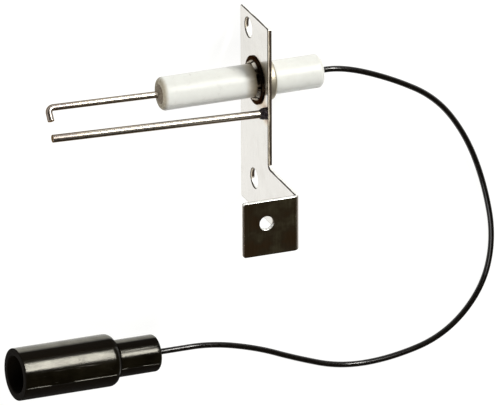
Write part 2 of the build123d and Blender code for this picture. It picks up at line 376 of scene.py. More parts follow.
def dark_spring_steel():
    """Oil-blackened spring steel: the rim stays dark, painted highlights brighten the teeth at two opposite
    sides.
    """
    material, tree, surface = shader("dark_spring_steel", Metallic=1.0, Specular_Tint=(0.48, 0.43, 0.38, 1.0))
    worn = cloud(tree, place(tree), 0.8, 4.0, 0.65)
    dark = ramp(
        tree,
        worn,
        (0.35, (0.006, 0.004, 0.003)),
        (0.62, (0.020, 0.014, 0.009)),
        (0.78, (0.10, 0.08, 0.06)),
    )
    tooth_highlight_tone = ramp(tree, worn, (0.3, (0.42, 0.38, 0.32)), (0.7, (0.72, 0.69, 0.62)))
    parts = coordinates(tree)
    flat = add(tree, "CombineXYZ", {"Y": parts["Y"], "Z": parts["Z"]}).outputs[0]
    axis = (0.0, AXIS_Y, AXIS_Z)
    ragged = calculate(tree, "ADD", measure(tree, "DISTANCE", flat, axis), product(tree, worn, 0.5))
    centred = add(tree, "VectorMath", {0: flat, 1: axis}, operation="SUBTRACT").outputs[0]
    heading = add(tree, "VectorMath", {0: centred}, operation="NORMALIZE").outputs[0]
    # painted highlights on the teeth along this line, at two opposite sides
    highlight_line = (0.0, 0.93, -0.36)
    sideways = measure(tree, "DOT_PRODUCT", heading, highlight_line)
    painted_tooth_highlight = spread(tree, calculate(tree, "ABSOLUTE", sideways), 0.55, 0.85)
    painted_tooth_highlight = product(tree, painted_tooth_highlight, spread(tree, ragged, 6.85, 7.1, 1.0, 0.0))
    colour = blend_colours(tree, painted_tooth_highlight, dark, tooth_highlight_tone)
    connect(tree, surface, Base_Color=colour, Roughness=spread(tree, worn, 0.3, 0.7, 0.22, 0.4))
    relief(tree, surface, worn, 0.02)
    return material


def grained(name, size, detail, roughness, stops, rough, depth, stretch=(1, 1, 1), **values):
    """A material whose one noise sets its colour, its roughness and its relief."""
    material, tree, surface = shader(name, **values)
    grains = cloud(tree, place(tree, stretch), size, detail, roughness)
    colour = ramp(tree, grains, *stops)
    connect(tree, surface, Base_Color=colour, Roughness=spread(tree, grains, 0.3, 0.7, *rough))
    relief(tree, surface, grains, depth)
    return material


def bright_collar():
    """Turned and polished collar: fine rings round its axis."""
    stops = ((0.3, (0.40, 0.365, 0.29)), (0.7, (0.48, 0.44, 0.35)))
    return grained("bright_collar", 0.12, 3.0, 0.6, stops, (0.42, 0.50), 0.003, (1, 25, 25), Metallic=0.8)


def rod_alloy(name, tip, reach):
    """Drawn heat-resisting rod: lines along it, burnt within reach of its tip, with painted shade on its lower
    side.
    """
    material, tree, surface = shader(name, Metallic=1.0, Specular_Tint=(0.50, 0.42, 0.33, 1.0))
    drawn = cloud(tree, place(tree, (40, 1, 1)), 0.16, 4.0, 0.6)
    spots = cloud(tree, place(tree), 1.4, 4.0, 0.6)
    colour = ramp(tree, drawn, (0.3, (0.66, 0.61, 0.53)), (0.7, (0.74, 0.69, 0.61)))
    colour = blend_colours(tree, spread(tree, spots, 0.55, 0.8, 0.0, 0.35), colour, (0.44, 0.36, 0.27))
    ragged = calculate(tree, "ADD", distance_from(tree, tip), product(tree, spots, 4.0))
    heat = ramp(
        tree,
        spread(tree, ragged, 0.5, reach),
        (0.0, (0.26, 0.22, 0.19)),
        (0.35, (0.36, 0.31, 0.29)),
        (0.6, (0.50, 0.42, 0.32)),
        (1.0, (0.70, 0.66, 0.58)),
    )
    colour = blend_colours(tree, spread(tree, ragged, reach * 0.4, reach, 0.8, 0.0), colour, heat)
    # painted shade on the faces that point towards -Y or away from +Z
    sides = facing(tree)
    below = spread(tree, sides["Y"], -0.3, 0.02, 1.0, 0.0)
    behind = spread(tree, sides["Z"], 0.2, 0.5, 1.0, 0.0)
    painted_underside_shade = product(tree, calculate(tree, "MAXIMUM", below, behind), 0.93)
    colour = blend_colours(tree, painted_underside_shade, colour, (0.11, 0.075, 0.045))
    connect(tree, surface, Base_Color=colour, Roughness=spread(tree, spots, 0.3, 0.75, 0.26, 0.34))
    relief(tree, surface, drawn, 0.0002)
    return material


def weld_scale():
    """Dark scaled weld with a purple and straw sheen."""
    stops = ((0.3, (0.006, 0.005, 0.007)), (0.55, (0.018, 0.013, 0.016)), (0.8, (0.08, 0.055, 0.035)))
    return grained("weld_scale", 0.5, 5.0, 0.6, stops, (0.3, 0.6), 0.08, Metallic=0.7)


def refractory_cement():
    stops = ((0.3, (0.10, 0.075, 0.05)), (0.55, (0.27, 0.22, 0.16)), (0.75, (0.48, 0.43, 0.34)))
    return grained("refractory_cement", 0.35, 6.0, 0.7, stops, (0.75, 0.95), 0.15)


def potting_compound():
    stops = ((0.3, (0.60, 0.58, 0.52)), (0.7, (0.76, 0.75, 0.70)))
    return grained("potting_compound", 0.6, 4.0, 0.6, stops, (0.5, 0.7), 0.05)


def lead_silicone():
    """Glossy black jacket with a faint ripple from extrusion."""
    stops = ((0.3, (0.003, 0.0025, 0.002)), (0.7, (0.007, 0.0055, 0.0045)))
    gloss = {"IOR": 1.45, "Specular_IOR_Level": 0.34}
    return grained("lead_silicone", 1.2, 3.0, 0.5, stops, (0.14, 0.22), 0.02, **gloss)


def boot_frame(tree):
    """The boot's own X, its way round (in radians, 0 at the side) and its coordinates, in millimetres."""
    coords = add(tree, "TexCoord", {}).outputs["Object"]
    inputs = {"Vector": coords, "Location": BOOT_MOUTH * MM, "Rotation": BOOT_TURN.to_euler()}
    local = add(tree, "Mapping", {**inputs, "Scale": (MM, MM, MM)}, vector_type="TEXTURE").outputs[0]
    parts = add(tree, "SeparateXYZ", {0: local}).outputs
    turn = calculate(tree, "ARCTAN2", parts["Z"], parts["Y"])
    return parts["X"], turn, local


def boot_rubber():
    """Moulded black silicone: polished, with dusty patches, a pale painted reflection round its +Y side,
    lengthwise scuffs and one scratch.
    """
    tint = (1.0, 0.97, 0.86, 1.0)
    material, tree, surface = shader("boot_rubber", IOR=1.5, Specular_IOR_Level=0.24, Specular_Tint=tint)
    x, turn, local = boot_frame(tree)
    pebbles = cloud(tree, local, 0.28, 3.0, 0.6)
    dust = cloud(tree, local, 6.0, 5.0, 0.65)
    stretched = add(tree, "Mapping", {"Vector": local, "Scale": (0.11, 1.0, 1.0)}).outputs[0]
    scuffs = cloud(tree, stretched, 0.9, 3.0, 0.7)
    colour = ramp(
        tree,
        dust,
        (0.35, (0.0028, 0.0022, 0.0011)),
        (0.62, (0.0058, 0.0047, 0.0025)),
        (0.8, (0.013, 0.011, 0.006)),
    )
    scuffed = spread(tree, scuffs, 0.66, 0.74)
    wander = calculate(tree, "ADD", turn, product(tree, cloud(tree, local, 9.0), 0.08))
    scratch = calculate(tree, "SUBTRACT", wander, SCRATCH)
    scratch = spread(tree, calculate(tree, "ABSOLUTE", scratch), 0.008, 0.02, 1.0, 0.0)
    scratch = product(tree, scratch, spread(tree, x, 10.0, 13.0))
    scratch = product(tree, scratch, spread(tree, x, 24.0, 28.0, 1.0, 0.0))
    scratch = product(tree, scratch, spread(tree, cloud(tree, stretched, 0.5), 0.4, 0.6))
    marked = calculate(tree, "MAXIMUM", product(tree, scuffed, 0.5), scratch)
    colour = blend_colours(tree, marked, colour, (0.09, 0.085, 0.075))
    # painted reflection: a pale band round the +Y side, broken up by the dust
    painted_reflection = product(tree, spread(tree, turn, *PAINTED_REFLECTION[:2]), spread(tree, turn, *PAINTED_REFLECTION[2:], 1.0, 0.0))
    painted_reflection = product(tree, painted_reflection, spread(tree, dust, 0.3, 0.6, 0.6, 1.0))
    colour = blend_colours(tree, painted_reflection, colour, (0.125, 0.12, 0.098))
    normal = add(tree, "NewGeometry", {}).outputs["Normal"]
    along = measure(tree, "DOT_PRODUCT", normal, BOOT_AXIS)
    ends = spread(tree, calculate(tree, "ABSOLUTE", along), 0.35, 0.8, 0.0, 0.5)
    rough = spread(tree, dust, 0.3, 0.7, 0.13, 0.19)
    streaks = product(tree, spread(tree, scuffs, 0.4, 0.7), 0.05)
    for more in (product(tree, marked, 0.12), ends, streaks):
        rough = calculate(tree, "ADD", rough, more)
    connect(tree, surface, Base_Color=colour, Roughness=rough)
    relief(tree, surface, calculate(tree, "ADD", pebbles, product(tree, scuffed, 0.6)), 0.012)
    return material


def matt_shaded_rubber():
    """The same rubber where it is matt and darker, the darker colour being painted shade: the mouth, the bores,
    the dull band and below the parting line.
    """
    stops = ((0.35, (0.0014, 0.0009, 0.0004)), (0.7, (0.0048, 0.0032, 0.0016)))
    gloss = {"IOR": 1.5, "Specular_IOR_Level": 0.06, "Specular_Tint": (1.0, 0.9, 0.75, 1.0)}
    return grained("matt_shaded_rubber", 0.5, 4.0, 0.65, stops, (0.72, 0.88), 0.02, **gloss)


def stamped(name, dark, light):
    """A small stamped or crimped metal piece, with stains."""
    return grained(name, 1.1, 4.0, 0.6, ((0.3, dark), (0.7, light)), (0.2, 0.36), 0.01, Metallic=1.0)


# ---------------------------------------- mesh building
def arc_corners(corners, steps=6):
    """A closed or open line with round corners: each corner is (*point, radius), 0 for a sharp one."""
    line = []
    for i, corner in enumerate(corners):
        here, radius = Vector(corner[:-1]), corner[-1]
        if radius == 0:
            line.append(here)
            continue
        to_last = (Vector(corners[i - 1][:-1]) - here).normalized()
        to_next = (Vector(corners[(i + 1) % len(corners)][:-1]) - here).normalized()
        half = to_last.angle(to_next) / 2
        centre = here + (to_last + to_next).normalized() * (radius / math.sin(half))
        first = here + to_last * (radius / math.tan(half)) - centre
        last = here + to_next * (radius / math.tan(half)) - centre
        whole = first.angle(last)
        for k in range(steps + 1):
            t = k / steps
            swing = first * math.sin((1 - t) * whole) + last * math.sin(t * whole)
            line.append(centre + swing / math.sin(whole))
    return line


def piece(name, verts, faces, materials, body, replaces):
    """A finished mesh object, from millimetres, that rides on a body and stands for CAD nodes."""
    mesh = bpy.data.meshes.new(name)
    mesh.from_pydata([Vector(v) * MM for v in verts], [], faces)
    for material in materials:
        mesh.materials.append(material)
    clean(mesh)
    obj = bpy.data.objects.new(name, mesh)
    bpy.context.scene.collection.objects.link(obj)
    settle(obj, body, replaces)
    return obj


def clean(mesh):
    """Closes poles, drops what is left over and sets the shading."""
    bm = bmesh.new()
    bm.from_mesh(mesh)
    bmesh.ops.remove_doubles(bm, verts=bm.verts, dist=0.002 * MM)
    bmesh.ops.dissolve_degenerate(bm, edges=bm.edges, dist=0.001 * MM)
    loose = [edge for edge in bm.edges if not edge.link_faces]
    bmesh.ops.delete(bm, geom=loose, context="EDGES")
    bmesh.ops.recalc_face_normals(bm, faces=bm.faces)
    bm.to_mesh(mesh)
    bm.free()
    mesh.shade_smooth()
    mesh.set_sharp_from_angle(angle=SHARP)


def settle(obj, body, replaces):
    """Even shading, and what the piece rides on and stands for."""
    weigh = obj.modifiers.new("even_shading", "WEIGHTED_NORMAL")
    weigh.keep_sharp = True
    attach(obj, body)
    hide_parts(*replaces)


def lathe(outline, y, z, shape=None, turns=None):
    """A closed outline of (x, radius) turned round an axis along X; shape may move each point."""
    turns = turns or [2 * math.pi * k / ROUND for k in range(ROUND)]
    verts, faces = [], []
    count = len(outline)
    for turn in turns:
        for x, r in outline:
            if shape:
                x, r = shape(x, r, turn)
            verts.append((x, y + r * math.cos(turn), z + r * math.sin(turn)))
    for k in range(len(turns)):
        a, b = k * count, (k + 1) % len(turns) * count
        faces += [(a + i, a + (i + 1) % count, b + (i + 1) % count, b + i) for i in range(count)]
    return verts, faces


def bar(line, radius, end_round, sides=32):
    """A round bar along a line of points, with softened ends."""
    points, radii = [Vector(p) for p in line], [radius] * len(line)
    for end, inward in ((0, 1), (-1, -2)):
        along = (points[inward] - points[end]).normalized()
        tip = points[end].copy()
        new = [(tip, radius - end_round)]
        for angle in (60, 30, 0):
            a = math.radians(angle)
            new.append((tip + along * end_round * (1 - math.sin(a)), radius - end_round * (1 - math.cos(a))))
        if end == 0:
            points[:1], radii[:1] = zip(*new)
        else:
            points[-1:], radii[-1:] = zip(*new[::-1])
    verts = []
    side = None
    for i, point in enumerate(points):
        ahead = points[min(i + 1, len(points) - 1)] - points[max(i - 1, 0)]
        ahead.normalize()
        if side is None:
            side = ahead.orthogonal()
        side = (side - ahead * side.dot(ahead)).normalized()
        across = ahead.cross(side)
        for k in range(sides):
            a = 2 * math.pi * k / sides
            verts.append(point + (side * math.cos(a) + across * math.sin(a)) * radii[i])
    faces = [tuple(range(sides)), tuple(range(len(verts) - sides, len(verts)))]
    for i in range(len(points) - 1):
        for k in range(sides):
            a, b = i * sides, (i + 1) * sides
            faces.append((a + k, a + (k + 1) % sides, b + (k + 1) % sides, b + k))
    return verts, faces


# ---------------------------------------- lead
LEAD_R = 1.0
LEAD_HOLE = 1.02  # radius of what closes on the jacket
CORE_R = 0.4
CORE_HOLE = 0.42  # radius of what closes on the core
JACKET_START, JACKET_END = 40.0, 26.5  # X in the ceramic, and distance from the boot's mouth
CORE_START, CORE_END = 31.15, 21.0
ROUTE = [
    (44.0, AXIS_Y, AXIS_Z),
    (56.5, AXIS_Y, AXIS_Z),
    (74.5, 4.9, 12.4),
    (92.0, -6.1, 8.2),
    (104.5, -23.2, 3.7),
    (112.3, -42.7, 1.04),
    (115.9, -63.2, 1.04),
    (111.7, -81.5, 1.04),
    (98.0, -96.1, 1.04),
    (78.5, -101.3, 1.04),
    (60.5, -101.5, 1.04),
    (43.6, -95.2, 1.9),
    (29.6, -88.5, 3.8),
    on_boot_axis(BOOT_LENGTH + 21.0),
    on_boot_axis(BOOT_LENGTH + 5.0),
]


def lead_curve(name, radius, start, end, material, node):
    """A smooth curve on the lead's route, running straight on inside the ceramic and inside the boot."""
    points = [(start, AXIS_Y, AXIS_Z), *ROUTE, on_boot_axis(end)]
    data = bpy.data.curves.new(name, "CURVE")
    data.dimensions = "3D"
    spline = data.splines.new("NURBS")
    spline.points.add(len(points) - 1)
    for point, place_mm in zip(spline.points, points):
        point.co = (*(Vector(place_mm) * MM), 1.0)
    spline.order_u = 3
    spline.use_endpoint_u = True
    spline.resolution_u = 16
    data.bevel_depth = radius * MM
    data.bevel_resolution = 6
    data.use_fill_caps = True
    data.materials.append(material)
    obj = bpy.data.objects.new(name, data)
    bpy.context.scene.collection.objects.link(obj)
    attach(obj, ROOT)
    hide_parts(node)
    return obj


# ---------------------------------------- bracket
def bracket():
    """The sheet's flat outline with its holes, thickened with rolled edges, then bent at the foot."""
    inside, edge = 1.0, 0.22  # radii of the bend's inside and of the rolled edges
    bend_steps, hole_steps = 12, 64
    foot, foot_hole_in = 20.0, 11.9  # from the plate's rear face to the foot's edge and to its hole
    width, arm = 24.8, 19.1  # the plate's height above the table, the extension's length along it
    length = HIGH_END - LOW_END
    neutral = inside + SHEET / 2
    arc_length = neutral * math.pi / 2
    bend_at = FOOT_TOP - inside - SHEET
    bend_x = FRONT - inside
    unrolled = bend_at + arc_length + bend_x - REAR  # plus a distance from the plate's rear face
    top = unrolled + foot
    outline = arc_corners(
        [
            (0.0, 0.0, 0.8),
            (length, 0.0, 0.8),
            (length, width, 0.8),
            (arm, width, 1.6),
            (arm, top, 0.8),
            (0.0, top, 0.8),
        ]
    )
    # along the plate, along the unrolled sheet, radius
    holes = [
        (10.9, 12.2, 3.4),
        (62.7, 7.4, 3.4),
        (11.3, unrolled + foot_hole_in, 2.4),
        (AXIS_Y - LOW_END, AXIS_Z, CERAMIC_R + 0.15),
    ]
    data = bpy.data.curves.new("flat_bracket", "CURVE")
    data.dimensions = "2D"
    data.fill_mode = "BOTH"
    data.extrude = (SHEET / 2 - edge) * MM
    data.bevel_depth = edge * MM
    data.bevel_resolution = 2
    data.offset = -edge * MM
    loops = [[(v.x, v.y) for v in outline]]
    for x, y, r in holes:
        turns = [2 * math.pi * k / hole_steps for k in range(hole_steps)]
        loops.append([(x + r * math.cos(t), y + r * math.sin(t)) for t in turns])
    for loop in loops:
        spline = data.splines.new("POLY")
        spline.points.add(len(loop) - 1)
        for point, (x, y) in zip(spline.points, loop):
            point.co = (x * MM, y * MM, 0.0, 1.0)
        spline.use_cyclic_u = True
    flat = bpy.data.objects.new("flat_bracket", data)
    bpy.context.scene.collection.objects.link(flat)
    bpy.context.view_layer.update()
    mesh = bpy.data.meshes.new_from_object(flat)
    bpy.data.objects.remove(flat)
    bm = bmesh.new()
    bm.from_mesh(mesh)
    bmesh.ops.remove_doubles(bm, verts=bm.verts, dist=0.001 * MM)
    for k in range(bend_steps + 1):
        cut = bend_at + arc_length * k / bend_steps
        everything = bm.verts[:] + bm.edges[:] + bm.faces[:]
        bmesh.ops.bisect_plane(bm, geom=everything, plane_co=(0, cut * MM, 0), plane_no=(0, 1, 0), dist=1e-8)
    bm.normal_update()
    for face in bm.faces:
        slope = abs(face.normal.z)
        face.material_index = 1 if slope < 0.15 else 2 if slope < 0.97 else 0
    for vert in bm.verts:
        a, b, c = vert.co / MM
        bent = b - bend_at
        if bent <= 0:
            x, z = FRONT + SHEET / 2 + c, b
        elif bent <= arc_length:
            turn = bent / neutral
            x, z = bend_x + (neutral + c) * math.cos(turn), bend_at + (neutral + c) * math.sin(turn)
        else:
            x, z = bend_x - (bent - arc_length), bend_at + neutral + c
        vert.co = Vector((x, LOW_END + a, z)) * MM
    bm.to_mesh(mesh)
    bm.free()
    mesh.name = "bracket"
    for material in (plated_steel(), sheared_steel(), burred_steel()):
        mesh.materials.append(material)
    clean(mesh)
    obj = bpy.data.objects.new("bracket_sheet", mesh)
    bpy.context.scene.collection.objects.link(obj)
    settle(obj, ROOT, ["mounting_bracket"])


# ---------------------------------------- ceramic, ring and collar
def ceramic():
    """The insulator: a pocket for the cement, a narrow bore for the rod and a wide one for the lead."""
    front, back = CERAMIC_FRONT, CERAMIC_BACK
    rod_bore_r, lead_bore = 1.25, 24.0
    outline = arc_corners(
        [
            (front, CEMENT_R, 0.3),
            (front, CERAMIC_R, 1.5),
            (back, CERAMIC_R, 1.5),
            (back, LEAD_BORE_R, 0.3),
            (back - lead_bore, LEAD_BORE_R, 0),
            (back - lead_bore, rod_bore_r, 0),
            (front + CEMENT_DEPTH, rod_bore_r, 0),
            (front + CEMENT_DEPTH, CEMENT_R, 0),
        ]
    )

    def warped(x, r, turn):
        sway = noise.noise(Vector((x * 0.06, math.cos(turn) * 0.7, math.sin(turn) * 0.7)))
        return x, r + (0.03 * (sway - 0.6) if r > 5 else 0.0)

    verts, faces = lathe(divided(outline, 1.5), AXIS_Y, AXIS_Z, warped)
    return piece("ceramic_body", verts, faces, [white_glaze()], ROOT, ["ceramic_insulator"])


def divided(outline, step):
    """The closed outline with points added along its long straight runs."""
    line = []
    for a, b in zip(outline, outline[1:] + outline[:1]):
        count = max(1, math.ceil((b - a).length / step))
        line += [a.lerp(b, k / count) for k in range(count)]
    return line


def retaining_ring():
    """A push-on ring of spring sheet: a flat rim, and teeth that lean forward onto the ceramic."""
    outer, rim, sheet, teeth, slot = 8.2, 1.5, 0.5, 8, 1.1
    lean, swell, bow = 1.196, 0.12, 0.25  # of the teeth, of the rim and of a tooth's tip
    root, tip = outer - rim, CERAMIC_R + 0.27
    middle = box_mm("front_retaining_ring")[1][0] - sheet / 2
    per_tooth = 12
    count = teeth * per_tooth
    pitch = 2 * math.pi / teeth
    radii = [outer, outer - 0.5, outer - 1.0, root, (root + tip) / 2, tip]
    verts = []
    for k in range(count):
        tooth, part = divmod(k, per_tooth)
        share = part / (per_tooth - 1) - 0.5
        for r in radii:
            gap = slot / r if r <= root else slot / outer
            turn = (tooth + 0.5) * pitch + share * (pitch - gap)
            reach = r + (bow * (share * 2) ** 2 if r == tip else 0.0)
            down = max(0.0, (root - r) / (root - tip))
            x = middle - lean * down - swell * (1 - abs(2 * (outer - r) / rim - 1)) * (r > root)
            verts.append((x, AXIS_Y + reach * math.cos(turn), AXIS_Z + reach * math.sin(turn)))
    faces = []
    rows = len(radii)
    for k in range(count):
        a, b = k * rows, (k + 1) % count * rows
        slotted = (k + 1) % per_tooth == 0
        for j in range(3 if slotted else rows - 1):
            faces.append((a + j, a + j + 1, b + j + 1, b + j))
    ring = piece(
        "push_on_ring", verts, faces, [dark_spring_steel()], ROOT, ["front_retaining_ring"]
    )
    thick = ring.modifiers.new("sheet", "SOLIDIFY")
    thick.thickness = sheet * MM
    thick.offset = 0.0
    thick.use_even_offset = True
    soften = ring.modifiers.new("soft_edges", "BEVEL")
    soften.width = 0.09 * MM
    soften.segments = 2
    soften.limit_method = "ANGLE"
    soften.angle_limit = SHARP
    ring.modifiers.move(ring.modifiers.find("even_shading"), len(ring.modifiers) - 1)


def collar():
    low, high = box_mm("rear_collar")
    outer, inner = 7.3, CERAMIC_R + 0.03
    outline = arc_corners(
        [
            (low[0], inner, 0.1),
            (low[0], outer, 0.25),
            (high[0], outer, 1.1),
            (high[0], inner, 0.35),
        ]
    )
    verts, faces = lathe(outline, AXIS_Y, AXIS_Z)
    return piece("turned_collar", verts, faces, [bright_collar()], ROOT, ["rear_collar"])


# ---------------------------------------- rods and weld
def electrode():
    """The spark rod: straight out of the ceramic, with a short leg bent back across the gap."""
    low, high = box_mm("spark_electrode")
    lean, leg_length, bend, steps = math.radians(39), 4.6, 1.8, 12
    along_leg = Vector((0, -math.cos(lean), math.sin(lean)))
    knee = Vector((low[0] + SPARK_ROD_R, AXIS_Y + 0.9, AXIS_Z))
    mouth = Vector((CERAMIC_FRONT - 1.3, AXIS_Y, AXIS_Z))
    along_rod = (mouth - knee).normalized()
    centre = knee + (along_rod + along_leg) * bend
    line = [Vector((high[0], AXIS_Y, AXIS_Z)), mouth]
    for k in range(steps + 1):
        turn = k / steps * math.pi / 2
        line.append(centre - along_leg * bend * math.cos(turn) - along_rod * bend * math.sin(turn))
    tip = knee + along_leg * leg_length
    verts, faces = bar([*line, tip], SPARK_ROD_R, 0.14)
    material = rod_alloy("spark_rod_alloy", tuple(tip), 26.0)
    return piece("spark_rod", verts, faces, [material], ROOT, ["spark_electrode"])


def earth_rod():
    """The straight rod beside the spark rod, from its weld to a tip that hangs a little lower."""
    start = Vector((FRONT - 0.1, EARTH_ROOT_Y, EARTH_ROOT_Z))
    end = Vector((FRONT - 73.5, EARTH_ROOT_Y + 1.0, EARTH_ROOT_Z - 3.0))
    verts, faces = bar([start, end], EARTH_ROD_R, 0.16)
    material = rod_alloy("earth_rod_alloy", tuple(end), 22.0)
    return piece("earth_rod", verts, faces, [material], ROOT, ["ground_rod"])


def weld():
    """A lumpy bead of weld round the earth rod's root."""
    reach, inner = 2.3, 0.8
    outline = arc_corners(
        [
            (FRONT, inner, 0),
            (FRONT, 2.1, 0.05),
            (FRONT - 1.0, 1.95, 0.5),
            (FRONT - reach, 1.45, 0.2),
            (FRONT - reach, inner, 0),
        ]
    )

    def lumps(x, r, turn):
        at = Vector((x * 1.3, math.cos(turn) * 1.4, math.sin(turn) * 1.4))
        swell = noise.noise(at) * 0.3 + noise.noise(at * 3.1) * 0.1
        outside = min(1.0, max(0.0, (r - 1.2) / 0.3))
        return min(x, FRONT), r + swell * outside * 0.8

    verts, faces = lathe(divided(outline, 0.12), EARTH_ROOT_Y, EARTH_ROOT_Z, lumps)
    return piece("weld_bead", verts, faces, [weld_scale()], ROOT, ["ground_rod_weld"])


def cement():
    """Rough cement in the ceramic's end, domed round the spark rod."""
    front, inner = CERAMIC_FRONT, SPARK_ROD_R - 0.02
    outline = arc_corners(
        [
            (front + CEMENT_DEPTH, inner, 0),
            (front + CEMENT_DEPTH, CEMENT_R, 0),
            (front - 0.02, CEMENT_R, 0),
            (front - 0.45, 2.2, 0.8),
            (front - 0.8, 1.4, 0.3),
            (front - 0.85, inner, 0),
        ]
    )

    def grain(x, r, turn):
        at = Vector((x, math.cos(turn) * r, math.sin(turn) * r))
        rough = noise.noise(at * 1.1) * 0.14 + noise.noise(at * 3.7) * 0.06
        return (x + rough if front + 0.1 > x > front - 2 and r < 3.0 else x), r

    verts, faces = lathe(divided(outline, 0.2), AXIS_Y, AXIS_Z, grain)
    return piece("end_cement", verts, faces, [refractory_cement()], ROOT, ["front_cement"])


# ---------------------------------------- inside the ceramic
def crimped(x, r, turn, middles, half, depth, outer):
    """Moves a point in where a crimping tool has pressed a sleeve from two sides."""
    press = max(0.0, max(1 - (abs(x - m) / half) ** 2 for m in middles))
    at_jaws = abs(math.cos(turn)) ** 6
    return x, r - depth * press * at_jaws * (1.0 if r > outer - 0.2 else 0.0)


def splice():
    """The sleeve between the spark rod and the lead's core, pressed near both ends."""
    low, high = box_mm("splice_sleeve")
    start, end = low[0], high[0]
    rod_hole, rod_depth = SPARK_ROD_R + 0.02, 5.5
    outline = arc_corners(
        [
            (start, rod_hole, 0),
            (start, SPLICE_R, 0.15),
            (end, SPLICE_R, 0.15),
            (end, CORE_HOLE, 0),
            (start + rod_depth, CORE_HOLE, 0),
            (start + rod_depth, rod_hole, 0),
        ]
    )
    shape = partial(crimped, middles=[start + 3.0, end - 3.0], half=1.6, depth=0.28, outer=SPLICE_R)
    verts, faces = lathe(divided(outline, 0.4), AXIS_Y, AXIS_Z, shape)
    metal = stamped("splice_metal", (0.50, 0.49, 0.47), (0.70, 0.69, 0.66))
    return piece("crimp_splice", verts, faces, [metal], ROOT, ["splice_sleeve"])


def potting():
    """Compound poured round the lead in the ceramic's rear bore, drawn up at both walls."""
    low, high = box_mm("rear_potting")
    front, back = low[0], high[0]
    outer, core_hole = LEAD_BORE_R - 0.02, CORE_HOLE + 0.01
    outline = arc_corners(
        [
            (front, core_hole, 0),
            (front, outer, 0),
            (back + 0.15, outer, 0),
            (back - 0.15, 2.2, 0.6),
            (back - 0.15, 1.5, 0.4),
            (back + 0.1, LEAD_HOLE, 0),
            (JACKET_START, LEAD_HOLE, 0),
            (JACKET_START, core_hole, 0),
        ]
    )
    verts, faces = lathe(divided(outline, 0.5), AXIS_Y, AXIS_Z)
    return piece("bore_potting", verts, faces, [potting_compound()], ROOT, ["rear_potting"])


# ---------------------------------------- boot and what is inside it
def between(turn, side):
    """The angle between two ways round."""
    return abs((turn - side + math.pi) % (2 * math.pi) - math.pi)


def on_boot(obj):
    """Moves a piece that is made in the boot's own frame to where the boot lies."""
    obj.data.transform(BOOT_PLACE)
    return obj


def boot():
    """The moulded boot: wide open mouth, round shoulder, narrow tail, and a parting line on both sides."""
    mouth_r, pocket_r, pocket, tail_bore = 6.3, 2.4, 30.0, 39.0
    lead_hole, groove_r = LEAD_R + 0.09, BOOT_TAIL_R - 0.3
    outline = arc_corners(
        [
            (0.0, BOOT_R, 0.35),
            (BOOT_BODY, BOOT_R, 2.4),
            (BOOT_BODY, groove_r, 0.1),
            (BOOT_BODY + 0.45, groove_r, 0.1),
            (BOOT_BODY + 0.75, BOOT_TAIL_R, 0.15),
            (BOOT_LENGTH, BOOT_TAIL_R, 1.0),
            (BOOT_LENGTH, lead_hole, 0.3),
            (tail_bore, lead_hole, 0),
            (tail_bore, pocket_r, 0),
            (pocket, pocket_r, 0),
            (pocket, mouth_r, 0.4),
            (0.0, mouth_r, 0.4),
        ]
    )
    sides = (PARTING, PARTING + math.pi)
    half_width, height = 0.018, 0.13  # of the flash: in radians, in millimetres
    steps = (-0.05, -0.026, -0.018, -0.012, -0.006, 0.0, 0.006, 0.012, 0.018, 0.026, 0.05)
    turns = [2 * math.pi * k / ROUND for k in range(ROUND)]
    for side in sides:
        turns = [t for t in turns if between(t, side) > 0.07]
        turns += [(side + d) % (2 * math.pi) for d in steps]
    turns.sort()

    def moulded(x, r, turn):
        outside = r > (BOOT_TAIL_R if x > BOOT_BODY else BOOT_R) - 0.4
        if not outside:
            return x, r
        away = min(between(turn, side) for side in sides)
        flash = height * max(0.0, 1 - (away / half_width) ** 2)
        at = Vector((x * 0.09, math.cos(turn) * 0.8, math.sin(turn) * 0.8))
        worn = 0.75 + 1.1 * noise.noise(Vector((x * 0.11, 4.0, 0.0)))
        return x, r - 0.05 + 0.03 * noise.noise(at) + flash * min(1.0, max(0.35, worn))

    verts, faces = lathe(divided(outline, 0.9), 0.0, 0.0, moulded, turns)
    rubbers = [boot_rubber(), matt_shaded_rubber()]
    shell = piece("boot_shell", verts, faces, rubbers, BOOT, ["rubber_boot"])
    for face in shell.data.polygons:
        middle = face.center / MM
        outside = math.hypot(middle.y, middle.z) > (BOOT_TAIL_R if middle.x > BOOT_BODY else BOOT_R) - 2.4
        turn = math.atan2(middle.z, middle.y) % (2 * math.pi)
        below = PARTING + 0.012 < turn < PARTING + math.pi
        in_dull_band = DULL_SHADED_BAND[0] < turn < DULL_SHADED_BAND[1]
        # inside, below the parting line, on the dull band and on the mouth: the darker matt rubber, painted shade
        face.material_index = int(not outside or below or in_dull_band or face.normal.x < -0.3)
    return on_boot(shell)


SOCKET_FRONT = 5.5  # from the boot's mouth
GROOVE = SOCKET_FRONT + 5.0


